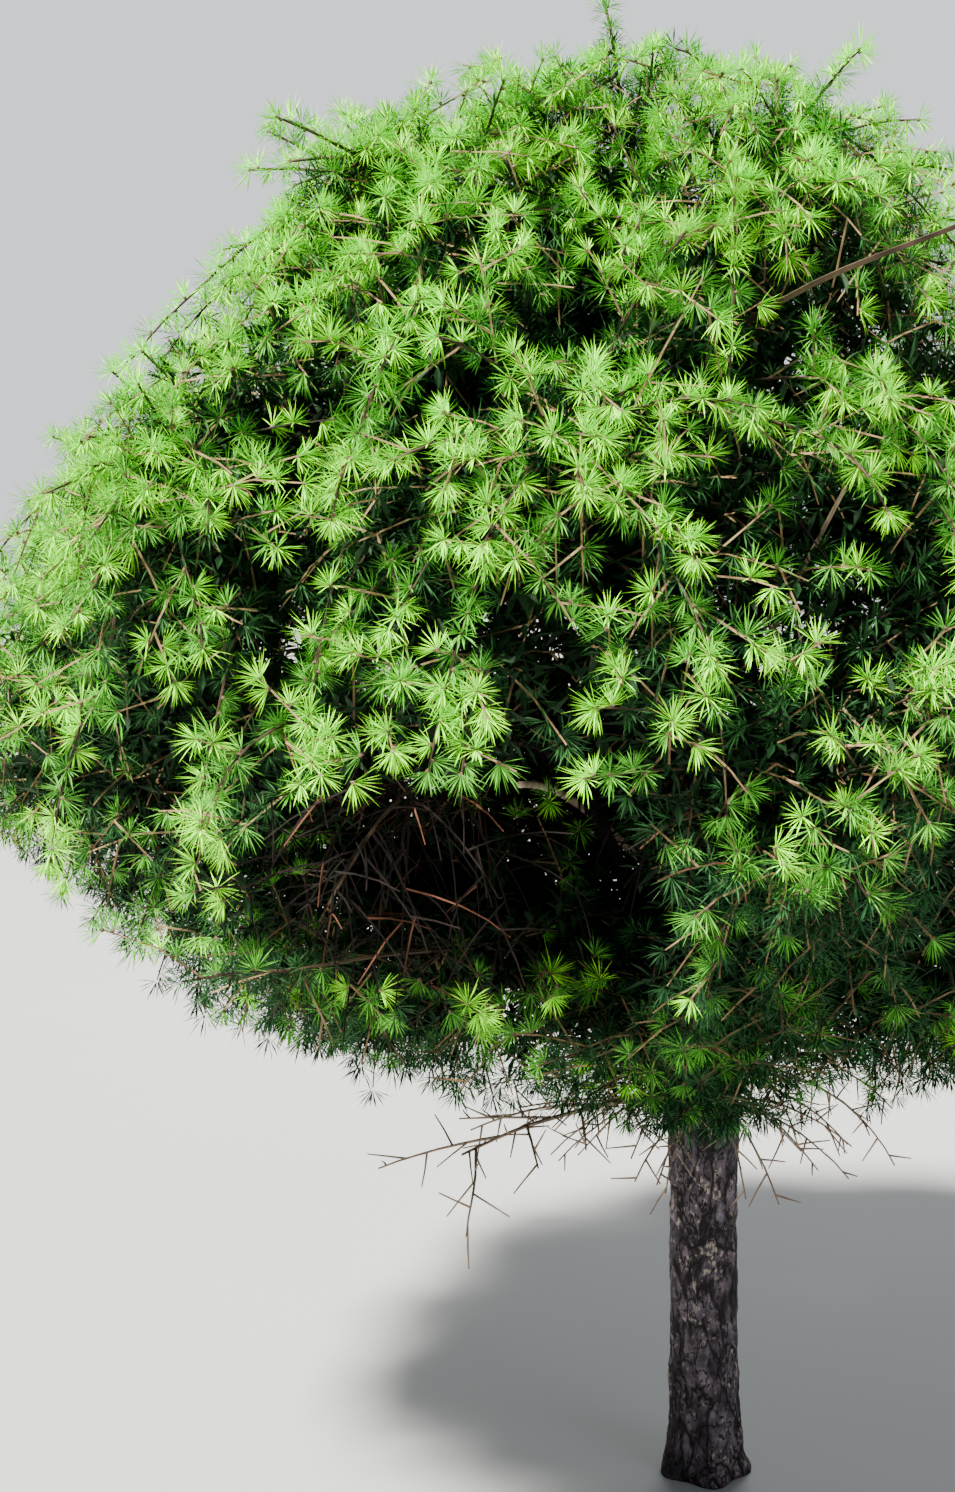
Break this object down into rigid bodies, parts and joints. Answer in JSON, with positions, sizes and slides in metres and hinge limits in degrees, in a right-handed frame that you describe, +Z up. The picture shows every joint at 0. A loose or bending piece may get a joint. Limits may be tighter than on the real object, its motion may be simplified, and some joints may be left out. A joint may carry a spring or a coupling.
{
  "type": "grafted dwarf larch tree",
  "caption": "Dwarf larch grafted on a short clear trunk, with a broad domed crown of arching boughs, whorled sprays of soft needles and bare dead twigs beneath.",
  "frame": {"origin": "centre of the flat cut under the trunk, at ground level", "axes": "+Z up along the trunk, -Y towards the front of the tree that the picture shows, +X to the right of that view"},
  "size_m": [1.3764, 1.3638, 1.7916],
  "materials": {
    "bark": "matte",
    "bough_bark": "matte",
    "dead_wood": "matte",
    "needles": "satin"
  },
  "bodies": {
    "root": {"trunk": "bark", "bough_upper_1": "bough_bark", "bough_upper_2": "bough_bark", "bough_upper_3": "bough_bark", "bough_upper_4": "bough_bark", "bough_upper_5": "bough_bark", "bough_middle_1": "bough_bark", "bough_middle_2": "bough_bark", "bough_middle_3": "bough_bark", "bough_middle_4": "bough_bark", "bough_middle_5": "bough_bark", "bough_middle_6": "bough_bark", "bough_middle_7": "bough_bark", "bough_lower_1": "bough_bark", "bough_lower_2": "bough_bark", "bough_lower_3": "bough_bark", "bough_lower_4": "bough_bark", "bough_lower_5": "bough_bark", "bough_lower_6": "bough_bark", "bough_lower_7": "bough_bark", "bough_skirt_1": "bough_bark", "bough_skirt_2": "bough_bark", "bough_skirt_3": "bough_bark", "bough_skirt_4": "bough_bark", "bough_skirt_5": "bough_bark", "dead_stub": "dead_wood", "dead_shoot": "dead_wood", "dead_twigs": "dead_wood", "foliage_top": "needles", "foliage_upper_1": "needles", "foliage_upper_2": "needles", "foliage_upper_3": "needles", "foliage_upper_4": "needles", "foliage_upper_5": "needles", "foliage_middle_1": "needles", "foliage_middle_2": "needles", "foliage_middle_3": "needles", "foliage_middle_4": "needles", "foliage_middle_5": "needles", "foliage_middle_6": "needles", "foliage_middle_7": "needles", "foliage_lower_1": "needles", "foliage_lower_2": "needles", "foliage_lower_3": "needles", "foliage_lower_4": "needles", "foliage_lower_5": "needles", "foliage_lower_6": "needles", "foliage_lower_7": "needles", "foliage_skirt_1": "needles", "foliage_skirt_2": "needles", "foliage_skirt_3": "needles", "foliage_skirt_4": "needles", "foliage_skirt_5": "needles"}
  },
  "joints": []
}
